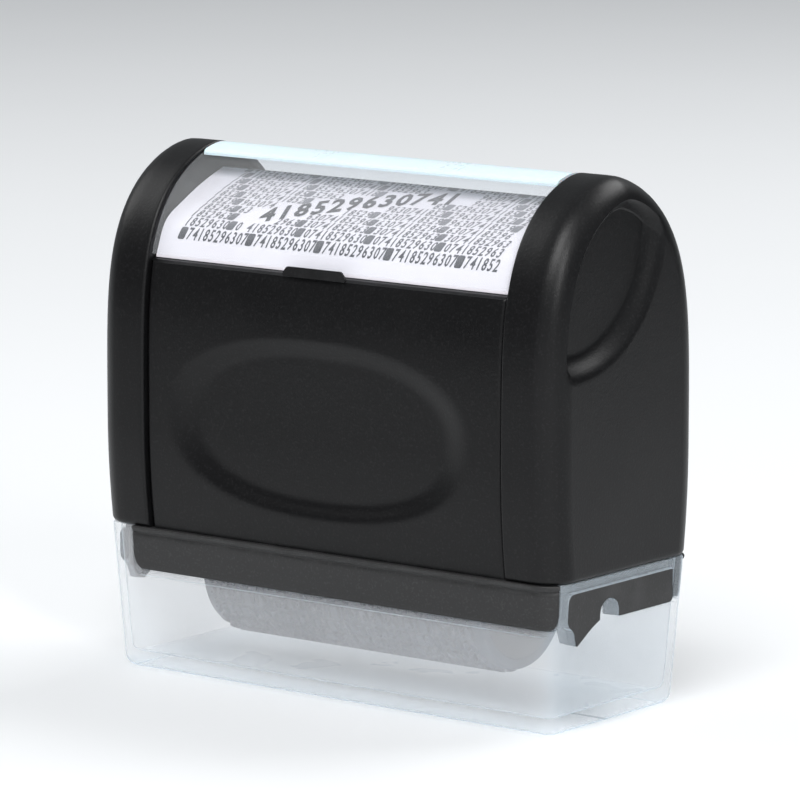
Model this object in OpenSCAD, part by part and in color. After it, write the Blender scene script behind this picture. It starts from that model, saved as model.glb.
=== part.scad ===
// Self-inking roller stamp. A rubber printing roller hangs in a cassette under a black housing.
// An ink roller behind it feeds it. A frosted cap closes the bottom, and a clear window covers the label.
// Millimetres. X runs along the stamp, -Y is the front, +Z is up. The origin is under the cap's centre.

/* [Body] */
// Length of the stamp
body_l = 62; // [60:0.5:70]
// Depth of the stamp at its thickest
body_d = 26.4; // [26:0.1:30]
// Height of the whole stamp
body_h = 57.5; // [56:0.5:64]
// Height at which the housing meets the cap
split_z = 16.2; // [16:0.1:17]
// Width of each end arch
arch_w = 6.8; // [6.5:0.1:8]
// Radius of the end arches' outer edges
edge_r = 3.2; // [2:0.1:3.6]
// Wall of the housing's shells
wall = 1.8; // [1.4:0.1:2]

/* [Grips] */
// Half length of the oval grip
grip_a = 20; // [14:0.5:21]
// Half height of the oval grip
grip_b = 9.2; // [6:0.2:9.6]
// Height of the grip's centre
grip_z = 29.3; // [28:0.1:31]
// Depth of the finger scoop in each end
scoop_depth = 1.4; // [0.8:0.1:1.6]

/* [Rollers] */
// Radius of the rubber printing roller
print_r = 8; // [7.5:0.1:8]
// Length of the rubber
print_l = 38; // [34:0.5:38]
// Radius of the felt ink roller
ink_r = 6; // [5:0.1:6]
// Gap between the rubber and the felt
nip_gap = 0.1; // [0.05:0.01:0.3]

/* [Cap] */
// Wall of the cap
cap_wall = 0.8; // [0.7:0.05:0.9]
// Draft of the cap's walls, per side over its height
cap_draft = 1.35; // [1:0.05:1.5]
// Thickness of the cap's floor
cap_floor = 1.6; // [1.2:0.1:2.4]

/* [Hidden] */
$fn = 72;
eps = 0.01;
black = [0.12, 0.12, 0.13];
dark_grey = [0.2, 0.2, 0.21];
steel = [0.72, 0.73, 0.75];
frosted = [0.84, 0.88, 0.92, 0.5];

// Section of the housing: its widest height, and how far it narrows below that
half_l = body_l / 2;
half_d = body_d / 2;
waist_z = 28;
foot_narrowing = 0.8;
mid_half = half_l - arch_w;
panel_inset = 0.45;
panel_top_z = 45.7;
panel_edge_z = 45;
groove_w = 0.4;
groove_depth = 1;
// Label cover
cover_inset = 0.25;
cover_t = 0.7;
cover_l = 2 * mid_half - 0.6;
cover_foot_z = 46.3;
rail_half = 3;
rail_rise = 0.35;
hinge_y = 10.5;
hinge_z = 46.7;
barrel_r = 1.3;
cover_pin_r = 0.7;
barrel_l = 6;
running = 0.05;
// Label: a steep front flap just behind the cover, a bend and a slope, as points of (y, z)
label_inset = cover_inset + cover_t + 0.2;
label_path = [[-side_y(46, label_inset), 46], [-side_y(48.9, label_inset), 48.9], [-8.9, 50.2],
              [-3.3, 53.2], [0.4, 54.6]];
label_t = 0.25;
roof_gap = 0.02;
label_l = 2 * mid_half - 0.4;
// Cassette and rollers
axle_y = -2;
axle_z = 12;
ink_y = 1.5;
centre_gap = print_r + ink_r + nip_gap;
ink_z = axle_z + sqrt(centre_gap * centre_gap - (ink_y - axle_y) * (ink_y - axle_y));
print_axle_r = 1.5;
ink_axle_r = 1.25;
rubber_t = 1.6;
felt_t = 2;
bush_wall = 1.1;
ink_bush_wall = 0.8;
bush_l = 3;
spool_wall = 1.4;
cheek_t = 1.6;
cheek_in = 21;
cheek_out = cheek_in + cheek_t;
side_play = 0.3;
clip_t = 0.5;
clip_wall = 1.1;
axle_half = cheek_out + clip_t + 0.5;
bar_r = 1.1;
bars = [[-7.6, 24], [7.8, 17.5], [6, 35.2]];
hood_gap = 1;
hood_t = 0.8;
// Lower frame
frame_l = 59.1;
frame_d = 22.1;
frame_wall = 1.2;
frame_low = 11.4;
flange_top = 20;
flange_l = 55;
flange_d = 20.2;
flange_wall = 0.9;
rubber_relief = 0.35;
deck_in = 24.2;
deck_low = 14.4;
corner_r = 3.2;
band_left = -26.45;
band_right = 30.2;
band_low = 11.5;
band_d = 23.9;
band_l = 61;
band_foot_r = 1.2;
band_back = 10.95;
bead_low = 15.3;
bead_out = 0.15;
notch_y = -2.4;
notch_r = 1.6;
notch_top = 13.6;
leg_top = [-9.2, -4.7];
leg_tip = [-8.3, 9.5];
screw_x = 26.4;
screw_y = 6.6;
screw_r = 1;
screw_head_r = 1.9;
screw_head_t = 1.2;
screw_l = 9;
boss_r = 2;
// Cap
cap_l = body_l - 0.1;
cap_d = 24.9;
cap_edge = 1.3;
cap_cut_z = 10.7;
cap_lip_z = 11.25;
cap_lip_y = 11.6;
cap_cut_left = -26.7;
cap_cut_right = 30.45;
window_low = 11.4;
window_top = 15.1;
window_front = -9.9;
window_rear = 9.2;
window_r = 0.8;

// Points of one side of the arch, from the foot to the top, drawn in from the outside by an inset.
// Below the waist the side narrows by a parabola; above it the side is a superellipse.
function side_y(z, inset) =
    z < waist_z
    ? half_d - inset - foot_narrowing * pow((waist_z - z) / (waist_z - split_z), 2)
    : (half_d - inset) * pow(max(0, 1 - pow((z - waist_z) / (body_h - inset - waist_z), 4.3)), 0.625);
function side(inset, z0, z1) = [
    for (z = [z0 : 2.36 : waist_z - eps]) [side_y(z, inset), z],
    for (a = [0 : 4 : 90])
        let (z = waist_z + (body_h - inset - waist_z) * sin(a))
        if (z >= z0 && z < z1 - 0.2) [side_y(z, inset), z],
    if (z1 < body_h - inset) [side_y(z1, inset), z1]
];
function reversed(points) = [for (i = [len(points) - 1 : -1 : 0]) points[i]];
function mirrored(points) = [for (p = points) [-p[0], p[1]]];
function arch(inset, z0, z1) =
    concat(side(inset, z0, z1), z1 < body_h - inset ? [] : [[0, body_h - inset]],
           reversed(mirrored(side(inset, z0, z1))));
function moved(points, d) = [for (p = points) p + d];

// A (y, z) outline carried from x0 to x1
module along_x(x0, x1) {
    translate([x0, 0, 0]) rotate([90, 0, 90]) linear_extrude(x1 - x0) children();
}
module rod(x0, x1, y, z, r) {
    translate([x0, y, z]) rotate([0, 90, 0]) cylinder(h = x1 - x0, r = r);
}
module pipe(x0, x1, y, z, r_out, r_in) {
    difference() {
        rod(x0, x1, y, z, r_out);
        rod(x0 - eps, x1 + eps, y, z, r_in);
    }
}
// An upright slab with round corners, centred on the origin in X and Y
module slab(l, d, r, z0, z1) {
    translate([0, 0, z0]) linear_extrude(z1 - z0) rounded(l, d, r);
}
module rounded(l, d, r) {
    square([l - 2 * r, d], center = true);
    square([l, d - 2 * r], center = true);
    for (x = [-1, 1], y = [-1, 1]) translate([x * (l / 2 - r), y * (d / 2 - r)]) circle(r = r);
}
module both_ends() {
    children();
    mirror([1, 0, 0]) children();
}

// Housing
roof_back = moved(label_path, [0, -label_t - roof_gap]);
roof_rear = [[2.2, 54.4], [5.6, 52.2], [7.8, 50], [8.6, 48.4], [8.6, panel_edge_z]];
module mid_outer() {
    polygon(concat(
        mirrored(side(panel_inset, split_z, panel_top_z)),
        roof_back,
        roof_rear,
        reversed(side(panel_inset, split_z, panel_edge_z))));
}
// The underside of the roof, which follows the label's slope and the ledge behind it
ceiling_z = 44;
ceiling = [[-9, ceiling_z], [-8.7, 48], [-7.8, 48.8], [-2.9, 51.4], [0.6, 52.6], [2.2, 52.4],
           [4.6, 51], [6.4, 49.2], [7, 47.6], [7, ceiling_z]];
module mid_inner() {
    polygon(concat(
        [[-side_y(split_z, panel_inset + wall), split_z - 1]],
        mirrored(side(panel_inset + wall, split_z, ceiling_z)),
        ceiling,
        reversed(side(panel_inset + wall, split_z, ceiling_z)),
        [[side_y(split_z, panel_inset + wall), split_z - 1]]));
}
function oval(a, b) = [
    for (t = [0 : 7.5 : 359])
        let (c = cos(t), s = sin(t))
        [a * sign(c) * pow(abs(c), 0.85), b * sign(s) * pow(abs(s), 0.85)]
];
module grip_dish() {
    sink = 1.15;
    lip = 1.2;
    translate([0, 0, grip_z]) hull() {
        translate([0, -half_d + sink + eps, 0]) rotate([90, 0, 0])
            linear_extrude(eps) polygon(oval(grip_a - lip, grip_b - lip));
        translate([0, -half_d - sink, 0]) rotate([90, 0, 0])
            linear_extrude(eps) polygon(oval(grip_a + lip, grip_b + lip));
    }
}
module mid_shell() {
    color(black) difference() {
        along_x(-mid_half, mid_half) mid_outer();
        along_x(-mid_half - 1, mid_half + 1) mid_inner();
        grip_dish();
        mirror([0, 1, 0]) grip_dish();
        both_ends() along_x(mid_half - groove_w, mid_half + 1) difference() {
            polygon(arch(-2, split_z - 1, panel_edge_z + 2));
            polygon(arch(groove_depth, split_z - 2, panel_edge_z + 3));
        }
    }
    color(black) label_tab();
}
// Thumb tab that stands over the label's lower edge
module label_tab() {
    tab_x = -1.1;
    tab_y = side_y(panel_top_z, cover_inset) + 0.02;
    tab_t = 0.3;
    tab_h = 1.9;
    foot_half = 4.2;
    top_half = 3.5;
    translate([tab_x, -tab_y, panel_top_z - 1]) rotate([90, 0, 0]) linear_extrude(tab_t)
        polygon([[-foot_half, 0], [foot_half, 0], [foot_half, 1], [top_half, tab_h],
                 [-top_half, tab_h], [-foot_half, 1]]);
}

// End arches
scoop_centre = [-9.1, 52.9];
scoop_r = 15.8;
scoop_rim = 2;
scoop_slope = 1.2;
module end_block() {
    hull() {
        along_x(mid_half, half_l - edge_r) polygon(arch(0, split_z, body_h));
        for (a = [15 : 15 : 90])
            along_x(half_l - edge_r * (1 - sin(a)) - eps, half_l - edge_r * (1 - sin(a)))
                polygon(arch(edge_r * (1 - cos(a)), split_z, body_h));
    }
}
module scoop_area(grow) {
    intersection() {
        polygon(arch(scoop_rim - grow, split_z, body_h));
        translate(scoop_centre) circle(r = scoop_r + grow);
    }
}
module scoop() {
    hull() {
        along_x(half_l - scoop_depth, half_l - scoop_depth + eps) scoop_area(-scoop_slope);
        along_x(half_l + 0.3, half_l + 0.3 + eps) scoop_area(0);
    }
}
module end_cover() {
    inner_wall = 1.2;
    crown_wall = wall + 0.4;
    cavity_x = half_l - scoop_depth - inner_wall;
    flange_gap = 0.3;
    boss_h = 8;
    rib_h = 4;
    rib_t = 1.2;
    difference() {
        end_block();
        scoop();
        along_x(mid_half + inner_wall, cavity_x) polygon(arch(crown_wall, split_z - 1, body_h));
        along_x(mid_half - 1, mid_half + inner_wall + 1) translate([-flange_d / 2, split_z - 1])
            square([flange_d, flange_top - split_z + 1 + flange_gap]);
        rod(mid_half - 1, mid_half + inner_wall + 1, hinge_y, hinge_z, cover_pin_r);
    }
    // two screw bosses, each tied to the end wall by a rib
    for (y = [-1, 1]) translate([screw_x, y * screw_y, flange_top]) difference() {
        union() {
            cylinder(h = boss_h, r = boss_r);
            translate([0, -rib_t / 2, boss_h - rib_h]) cube([cavity_x - screw_x + 0.2, rib_t, rib_h]);
        }
        translate([0, 0, -1]) cylinder(h = boss_h, r = screw_r);
    }
}
module right_end_cover() { color(black) end_cover(); }
module left_end_cover() { color(black) mirror([1, 0, 0]) end_cover(); }

// Lower frame: a ring inside the cap, two bands flush with the cap, and a flange up into the housing
module band() {
    intersection() {
        union() {
            slab(band_l, band_d, corner_r, band_low, split_z);
            slab(band_l + 2 * bead_out, band_d + 2 * bead_out, corner_r, bead_low, split_z);
        }
        // its front outline, with round lower corners
        translate([(band_left + band_right) / 2, -band_back, band_low + body_h / 2])
            rotate([90, 0, 0]) linear_extrude(half_d) rounded(band_right - band_left, body_h, band_foot_r);
    }
}
module notch(grow, z0) {
    translate([notch_y - notch_r - grow, z0]) square([2 * (notch_r + grow), notch_top - notch_r - z0]);
    translate([notch_y, notch_top - notch_r]) circle(r = notch_r + grow);
}
module lower_frame() {
    inner_r = 1.2;
    pocket_h = screw_head_t + 0.6;
    color(dark_grey) difference() {
        union() {
            difference() {
                union() {
                    slab(frame_l, frame_d, corner_r - cap_wall, frame_low, split_z);
                    band();
                    mirror([0, 1, 0]) band();
                    slab(flange_l, flange_d, corner_r - cap_wall, split_z - eps, flange_top);
                }
                slab(frame_l - 2 * frame_wall, frame_d - 2 * frame_wall, inner_r, frame_low - 1, split_z - 1);
                slab(flange_l - 2 * flange_wall, flange_d - 2 * flange_wall, inner_r, split_z - 1 - eps,
                     flange_top + 1);
                rod(-print_l / 2 - 1, print_l / 2 + 1, axle_y, axle_z, print_r + rubber_relief);
            }
            both_ends() {
                translate([deck_in, -frame_d / 2 + 0.5, deck_low])
                    cube([frame_l / 2 - deck_in - 0.5, frame_d - 1, split_z - deck_low]);
                for (y = [-1, 1]) translate([screw_x, y * screw_y, deck_low])
                    cylinder(h = flange_top - deck_low, r = boss_r);
                along_x(frame_l / 2 - frame_wall, frame_l / 2)
                    polygon([[leg_top[0], frame_low + 0.5], leg_tip, [leg_top[1], frame_low + 0.5]]);
            }
        }
        both_ends() {
            along_x(deck_in - 1, half_l) notch(0.1, frame_low - 1);
            for (y = [-1, 1]) translate([screw_x, y * screw_y, 0]) {
                cylinder(h = body_h, r = screw_r + 0.1);
                translate([0, 0, deck_low - 1]) cylinder(h = pocket_h, r = screw_head_r + 0.2);
            }
        }
    }
}
module frame_screws() {
    head_z = deck_low - 0.4;
    slot_w = 0.4;
    slot_l = 2.4;
    slot_depth = 0.5;
    color(steel) both_ends() for (y = [-1, 1]) translate([screw_x, y * screw_y, head_z]) difference() {
        union() {
            cylinder(h = screw_head_t, r = screw_head_r);
            cylinder(h = screw_l, r = screw_r);
        }
        for (turn = [0, 90]) rotate([0, 0, turn])
            translate([-slot_l / 2, -slot_w / 2, -1]) cube([slot_l, slot_w, 1 + slot_depth]);
    }
}

// Label, its cover and the hinge pins
module label_card() {
    color("white") along_x(-label_l / 2, label_l / 2)
        polygon(concat(label_path, reversed(moved(label_path, [0, -label_t]))));
}
module cover_pins() {
    color(steel) both_ends() rod(mid_half - 4, mid_half + 1.2, hinge_y, hinge_z, cover_pin_r);
}
module cover_section() {
    difference() {
        polygon(arch(cover_inset, cover_foot_z, body_h));
        polygon(arch(cover_inset + cover_t, cover_foot_z - 1, body_h));
        rail_section();
        // the rear foot stops at the hinge barrels
        translate([side_y(hinge_z, cover_inset) - cover_t - 1, cover_foot_z - 1]) square([4, 1.4]);
    }
}
// The rail fills a shallow groove along the cover's top
module rail_section() {
    intersection() {
        difference() {
            polygon(arch(cover_inset - rail_rise, cover_foot_z - 2, body_h));
            polygon(arch(cover_inset + cover_t / 2, cover_foot_z - 3, body_h));
        }
        translate([-rail_half, body_h - 6]) square([2 * rail_half, 8]);
    }
}
module label_cover() {
    color([0.9, 0.95, 1, 0.3]) difference() {
        union() {
            along_x(-cover_l / 2, cover_l / 2) cover_section();
            both_ends() rod(cover_l / 2 - barrel_l, cover_l / 2, hinge_y, hinge_z, barrel_r);
        }
        both_ends() rod(cover_l / 2 - barrel_l - 1, half_l, hinge_y, hinge_z, cover_pin_r + running);
    }
}
module cover_rail() {
    color([0.85, 0.93, 0.96]) along_x(-cover_l / 2, cover_l / 2) rail_section();
}

// Cassette
module cheek() {
    top_z = ink_z + 11;
    shoulder_z = 14;
    foot_half = 2.2;
    bevel = 3;
    w = flange_d / 2 - flange_wall;
    difference() {
        union() {
            along_x(cheek_in, cheek_out) polygon([
                [axle_y - foot_half, axle_z], [axle_y + foot_half, axle_z], [w, shoulder_z],
                [w, top_z - bevel], [w - bevel, top_z], [bevel - w, top_z], [-w, top_z - bevel],
                [-w, shoulder_z]]);
            rod(cheek_in, cheek_out, axle_y, axle_z, print_axle_r + clip_wall);
        }
        rod(cheek_in - 1, cheek_out + 1, axle_y, axle_z, print_axle_r);
        rod(cheek_in - 1, cheek_out + 1, ink_y, ink_z, ink_axle_r);
    }
}
module right_cheek() { color("dimgray") cheek(); }
module left_cheek() { color("dimgray") mirror([1, 0, 0]) cheek(); }
module tie_bars() {
    color("dimgray") for (p = bars) rod(-cheek_in, cheek_in, p[0], p[1], bar_r);
}
module ink_hood() {
    r = ink_r + hood_gap;
    color("dimgray") difference() {
        pipe(-cheek_in, cheek_in, ink_y, ink_z, r + hood_t, r);
        translate([-half_l, -half_d, ink_z - 3 * ink_r]) cube([body_l, body_d, 3 * ink_r]);
    }
}
module printing_axle() { color(steel) rod(-axle_half, axle_half, axle_y, axle_z, print_axle_r); }
module ink_axle() { color(steel) rod(-axle_half, axle_half, ink_y, ink_z, ink_axle_r); }
module axle_clips() {
    color(steel) both_ends() {
        pipe(cheek_out, cheek_out + clip_t, axle_y, axle_z, print_axle_r + clip_wall, print_axle_r);
        pipe(cheek_out, cheek_out + clip_t, ink_y, ink_z, ink_axle_r + clip_wall, ink_axle_r);
    }
}

// A spool on an axle: a tube, two end webs and a hub at each end that stops just short of the cheek
module spool(y, z, r_out, seat_r) {
    hub = cheek_in - side_play;
    hub_r = seat_r + 1.2;
    flat = print_l / 2;
    web_in = bush_l + 0.6;
    translate([-hub, y, z]) rotate([0, 90, 0]) rotate_extrude() difference() {
        polygon([[seat_r, 0], [hub_r, 0], [hub_r, hub - flat], [r_out, hub - flat],
                 [r_out, hub + flat], [hub_r, hub + flat], [hub_r, 2 * hub], [seat_r, 2 * hub]]);
        translate([0, web_in]) square([r_out - spool_wall, 2 * (hub - web_in)]);
    }
}
module bushes(y, z, seat_r, bore_r) {
    hub = cheek_in - side_play;
    both_ends() pipe(hub - bush_l, hub, y, z, seat_r, bore_r);
}
module printing_core() {
    color("gainsboro") spool(axle_y, axle_z, print_r - rubber_t, print_axle_r + bush_wall);
}
module printing_rubber() {
    color([0.24, 0.28, 0.34]) pipe(-print_l / 2, print_l / 2, axle_y, axle_z, print_r, print_r - rubber_t);
}
module printing_bushes() {
    color("ivory") bushes(axle_y, axle_z, print_axle_r + bush_wall, print_axle_r + running);
}
module ink_core() { color("gainsboro") spool(ink_y, ink_z, ink_r - felt_t, ink_axle_r + ink_bush_wall); }
module ink_felt() {
    color([0.08, 0.09, 0.16]) pipe(-print_l / 2, print_l / 2, ink_y, ink_z, ink_r, ink_r - felt_t);
}
module ink_bushes() {
    color("ivory") bushes(ink_y, ink_z, ink_axle_r + ink_bush_wall, ink_axle_r + running);
}

// Cap: a drafted cup with a cut-out for each band and a window for each end of the frame
module level(inset, z, r) {
    cut = 2 * inset + 2 * cap_draft * (split_z - z) / split_z;
    slab(cap_l - cut, cap_d - cut, r, z, z + eps);
}
module cap_outside() {
    hull() {
        level(0, split_z - eps, corner_r);
        for (a = [0 : 30 : 90]) level(cap_edge * (1 - cos(a)), cap_edge * (1 - sin(a)), corner_r);
    }
}
module cap_inside() {
    r = corner_r - cap_wall;
    bevel = 0.6;
    hull() {
        level(cap_wall, split_z + 1, r);
        level(cap_wall, cap_floor + bevel, r);
        level(cap_wall + bevel, cap_floor, r);
    }
}
module window() {
    difference() {
        union() {
            translate([window_front + window_r, window_low])
                square([window_rear - window_front - window_r, window_top - window_low]);
            translate([window_front, window_low + window_r])
                square([window_r + eps, window_top - window_low - 2 * window_r]);
            for (z = [window_low, window_top - 2 * window_r])
                translate([window_front + window_r, z + window_r]) circle(r = window_r);
            polygon([[leg_top[0] + 0.1, window_low + eps], leg_tip + [0, 0.3],
                     [leg_top[1] - 0.4, window_low + eps]]);
        }
        notch(0, window_low - 1);
    }
}
module cap() {
    cut_y = band_back - 0.1;
    color(frosted) difference() {
        cap_outside();
        cap_inside();
        for (s = [-1, 1]) {
            // the through cut for the band
            translate([cap_cut_left, s < 0 ? -half_d : cut_y, cap_lip_z])
                cube([cap_cut_right - cap_cut_left, half_d - cut_y, split_z]);
            // the step under it, which leaves a thin lip inside
            translate([cap_cut_left, s < 0 ? -half_d : cap_lip_y, cap_cut_z])
                cube([cap_cut_right - cap_cut_left, half_d - cap_lip_y, split_z]);
        }
        both_ends() along_x(half_l - 4, half_l + 1) window();
    }
}

mid_shell();
left_end_cover();
right_end_cover();
lower_frame();
frame_screws();
label_card();
cover_pins();
left_cheek();
right_cheek();
tie_bars();
ink_hood();
printing_axle();
ink_axle();
axle_clips();
printing_core();
printing_rubber();
printing_bushes();
ink_core();
ink_felt();
ink_bushes();
label_cover();
cover_rail();
cap();
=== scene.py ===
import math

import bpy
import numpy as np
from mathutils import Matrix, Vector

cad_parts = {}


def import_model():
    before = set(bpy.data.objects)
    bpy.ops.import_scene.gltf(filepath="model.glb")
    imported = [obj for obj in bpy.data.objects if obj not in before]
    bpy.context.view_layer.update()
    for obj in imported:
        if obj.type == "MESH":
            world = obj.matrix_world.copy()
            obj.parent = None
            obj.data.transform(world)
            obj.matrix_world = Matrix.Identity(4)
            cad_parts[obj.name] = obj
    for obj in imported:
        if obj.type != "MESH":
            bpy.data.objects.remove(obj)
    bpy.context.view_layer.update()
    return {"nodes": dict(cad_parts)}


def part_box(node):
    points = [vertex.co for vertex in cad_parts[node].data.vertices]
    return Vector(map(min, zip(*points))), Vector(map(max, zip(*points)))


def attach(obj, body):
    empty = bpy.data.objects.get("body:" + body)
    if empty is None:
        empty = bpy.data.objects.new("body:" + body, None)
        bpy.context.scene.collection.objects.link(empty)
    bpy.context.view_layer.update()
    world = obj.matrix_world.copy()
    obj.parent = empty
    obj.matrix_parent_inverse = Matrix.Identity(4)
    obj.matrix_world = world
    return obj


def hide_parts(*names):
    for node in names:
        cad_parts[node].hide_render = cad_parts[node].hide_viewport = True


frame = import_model()

# A self-inking roller stamp: a black arched housing with a label window on top, a rubber roller fed by
# an ink roller below, and a frosted cap that it stands on. Shapes are worked out in millimetres in the
# CAD's own frame and written to the meshes in metres.

MM = 0.001

# ---------------------------------------------------------------- sizes, in millimetres


def node_box(node):
    """A CAD node's low and high corners in millimetres."""
    low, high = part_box(node)
    return np.array(low) / MM, np.array(high) / MM


ARCH_LOW, ARCH_HIGH = node_box("right_end_cover")
HALF_L = ARCH_HIGH[0]                       # half the stamp's length
HALF_D = ARCH_HIGH[1]                       # half its depth at the waist
TOP_Z = ARCH_HIGH[2]
SPLIT_Z = ARCH_LOW[2]                       # where the housing meets the cap
MID_HALF = ARCH_LOW[0]                      # inner face of the end arches
WAIST_Z = 28.0
FOOT_NARROWING = 0.8
EDGE_R = 3.2                                # round of the arches' outer edges
FOOT_R = 0.6                                # round of the arches' lower edges

PANEL_INSET = 0.45
PANEL_TOP_Z = 45.7
REAR_TOP_Z = 45.0
GRIP_X, GRIP_A, GRIP_B, GRIP_Z = -0.5, 19.4, 9.1, 29.3
GRIP_DEPTH = 0.85
SCOOP_DEPTH = 1.4
SCOOP_CENTRE = (-9.1, 52.9)
SCOOP_R = 15.8

COVER_INSET, COVER_T = 0.25, 0.7
COVER_HALF = node_box("label_cover")[1][0]
COVER_FOOT_Z = 46.3
RAIL_HALF, RAIL_RISE = 3.0, 0.3
HINGE_Y, HINGE_Z, BARREL_R, BARREL_L = 10.5, 46.7, 1.3, 6.0
LABEL_HALF = node_box("label_card")[1][0]
LABEL_T = 0.25
LABEL_INSET = COVER_INSET + COVER_T + 0.2

ROLLER_LOW, ROLLER_HIGH = node_box("printing_rubber")
ROLLER_R = (ROLLER_HIGH[2] - ROLLER_LOW[2]) / 2
ROLLER_Y = (ROLLER_LOW[1] + ROLLER_HIGH[1]) / 2
ROLLER_Z = (ROLLER_LOW[2] + ROLLER_HIGH[2]) / 2
ROLLER_HALF = ROLLER_HIGH[0]
RELIEF = 0.45                               # height of the rubber's raised print
RUBBER_T = 1.6

CAP_LOW, CAP_HIGH = node_box("cap")
CAP_L, CAP_D = 2 * CAP_HIGH[0], 2 * CAP_HIGH[1]
CAP_DRAFT = 1.35
CAP_WALL, CAP_FLOOR, CAP_EDGE = 0.8, 1.6, 1.3
CORNER_R = 3.2
BAND_LEFT, BAND_RIGHT, BAND_LOW = -26.6, 30.35, 11.4
BAND_T = 1.0
FRAME_END_X = 29.55
WINDOW_LOW, WINDOW_TOP, WINDOW_FRONT, WINDOW_REAR = 11.4, 15.1, -9.9, 9.0
NOTCH_Y, NOTCH_R, NOTCH_TOP = -2.4, 1.6, 13.6

# ---------------------------------------------------------------- maths for the shapes


def ease(x, low, high):
    """0 below low, 1 above high, and a smooth cubic step between."""
    t = np.clip((np.asarray(x, float) - low) / (high - low), 0, 1)
    return t * t * (3 - 2 * t)


def side_y(z, inset):
    """Half depth of the arch at a height: a parabola below the waist, a superellipse above it."""
    z, inset = np.asarray(z, float), np.asarray(inset, float)
    low = HALF_D - inset - FOOT_NARROWING * ((WAIST_Z - z) / (WAIST_Z - SPLIT_Z)) ** 2
    rise = np.clip((z - WAIST_Z) / (TOP_Z - inset - WAIST_Z), 0, 1)
    high = (HALF_D - inset) * (1 - rise ** 4.3) ** 0.625
    return np.where(z < WAIST_Z, low, high)


def arch_side(inset, z0, z1, n_low=14, n_high=100):
    """Points (y, z) of one side of the arch from z0 to z1, closer together towards the top."""
    top = TOP_Z - inset
    low = np.linspace(z0, WAIST_Z, n_low, endpoint=False) if z0 < WAIST_Z else np.zeros(0)
    a0 = math.asin(np.clip((max(z0, WAIST_Z) - WAIST_Z) / (top - WAIST_Z), 0, 1))
    a1 = math.asin(np.clip((z1 - WAIST_Z) / (top - WAIST_Z), 0, 1))
    high = WAIST_Z + (top - WAIST_Z) * np.sin(np.linspace(a0, a1, n_high))
    z = np.concatenate([low, high])
    return np.stack([side_y(z, inset), z], axis=1)


def flip_y(points):
    """The same outline on the front side, where y is negative."""
    return points * [-1, 1]


def rounded(points, radius, steps=6):
    """A polyline whose inner corners are turned into quadratic curves that start radius before them."""
    points = np.asarray(points, float)
    radius = np.broadcast_to(radius, len(points))
    apart = np.r_[True, np.linalg.norm(np.diff(points, axis=0), axis=1) > 1e-6]
    points, radius = points[apart], radius[apart]
    t = np.linspace(0, 1, steps)[:, None]
    out = [points[:1]]
    for before, corner, after, r in zip(points, points[1:], points[2:], radius[1:]):
        back, ahead = before - corner, after - corner
        r_back = min(r, np.linalg.norm(back) / 2)
        r_ahead = min(r, np.linalg.norm(ahead) / 2)
        start = corner + back / np.linalg.norm(back) * r_back
        end = corner + ahead / np.linalg.norm(ahead) * r_ahead
        out.append(start * (1 - t) ** 2 + corner * 2 * t * (1 - t) + end * t ** 2)
    out.append(points[-1:])
    return np.concatenate(out)


def resample(points, n):
    """n points evenly spaced along a polyline."""
    step = np.r_[0, np.cumsum(np.linalg.norm(np.diff(points, axis=0), axis=1))]
    at = np.linspace(0, step[-1], n)
    return np.stack([np.interp(at, step, points[:, k]) for k in range(points.shape[1])], axis=1)


def ring(length, depth, radius, n_side=40, n_corner=14):
    """Points and outward normals round a rectangle with round corners, starting at its rear right."""
    points, normals = [], []
    for k, (sx, sy) in enumerate([(1, 1), (-1, 1), (-1, -1), (1, -1)]):
        a = math.pi / 2 * (k + np.linspace(0, 1, n_corner))
        normal = np.stack([np.cos(a), np.sin(a)], axis=1)
        centre = np.array([sx * (length / 2 - radius), sy * (depth / 2 - radius)])
        points.append(centre + radius * normal)
        normals.append(normal)
    loop, outward = [], []
    for k in range(4):
        nxt = points[(k + 1) % 4][0]
        t = np.linspace(0, 1, n_side if k % 2 == 0 else n_side // 2)[1:-1, None]
        loop += [points[k], points[k][-1] * (1 - t) + nxt * t]
        outward += [normals[k], np.repeat(normals[k][-1:], len(t), axis=0)]
    return np.concatenate(loop), np.concatenate(outward)


# ---------------------------------------------------------------- meshes


def grid_quads(nu, nv, wrap_u=False, wrap_v=False):
    """Quads of a grid of nu rows of nv points, which may close on itself either way."""
    u = np.arange(nu if wrap_u else nu - 1)
    v = np.arange(nv if wrap_v else nv - 1)
    u, v = np.meshgrid(u, v, indexing="ij")
    u2, v2 = (u + 1) % nu, (v + 1) % nv
    quads = np.stack([u * nv + v, u2 * nv + v, u2 * nv + v2, u * nv + v2], axis=-1)
    return quads.reshape(-1, 4)


def build_mesh(name, points_mm, faces, merge=0.0):
    """A mesh object from points in millimetres, with near points merged and its faces turned outward."""
    mesh = bpy.data.meshes.new(name)
    faces = faces.tolist() if isinstance(faces, np.ndarray) else faces
    mesh.from_pydata((np.asarray(points_mm, float).reshape(-1, 3) * MM).tolist(), [], faces)
    piece = bpy.data.objects.new(name, mesh)
    bpy.context.scene.collection.objects.link(piece)
    import bmesh
    work = bmesh.new()
    work.from_mesh(mesh)
    if merge:
        bmesh.ops.remove_doubles(work, verts=work.verts, dist=merge * MM)
    bmesh.ops.recalc_face_normals(work, faces=work.faces)
    work.to_mesh(mesh)
    work.free()
    return piece


def finish_piece(piece, body, material, sharp_deg=38, stands_for=()):
    """Smooth shading with sharp edges kept, the material, the body it rides on and what it replaces."""
    mesh = piece.data
    mesh.polygons.foreach_set("use_smooth", np.ones(len(mesh.polygons), bool))
    mesh.set_sharp_from_angle(angle=math.radians(sharp_deg))
    mesh.materials.clear()
    mesh.materials.append(material)
    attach(piece, body)
    if stands_for:
        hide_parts(*stands_for)
    return piece


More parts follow.
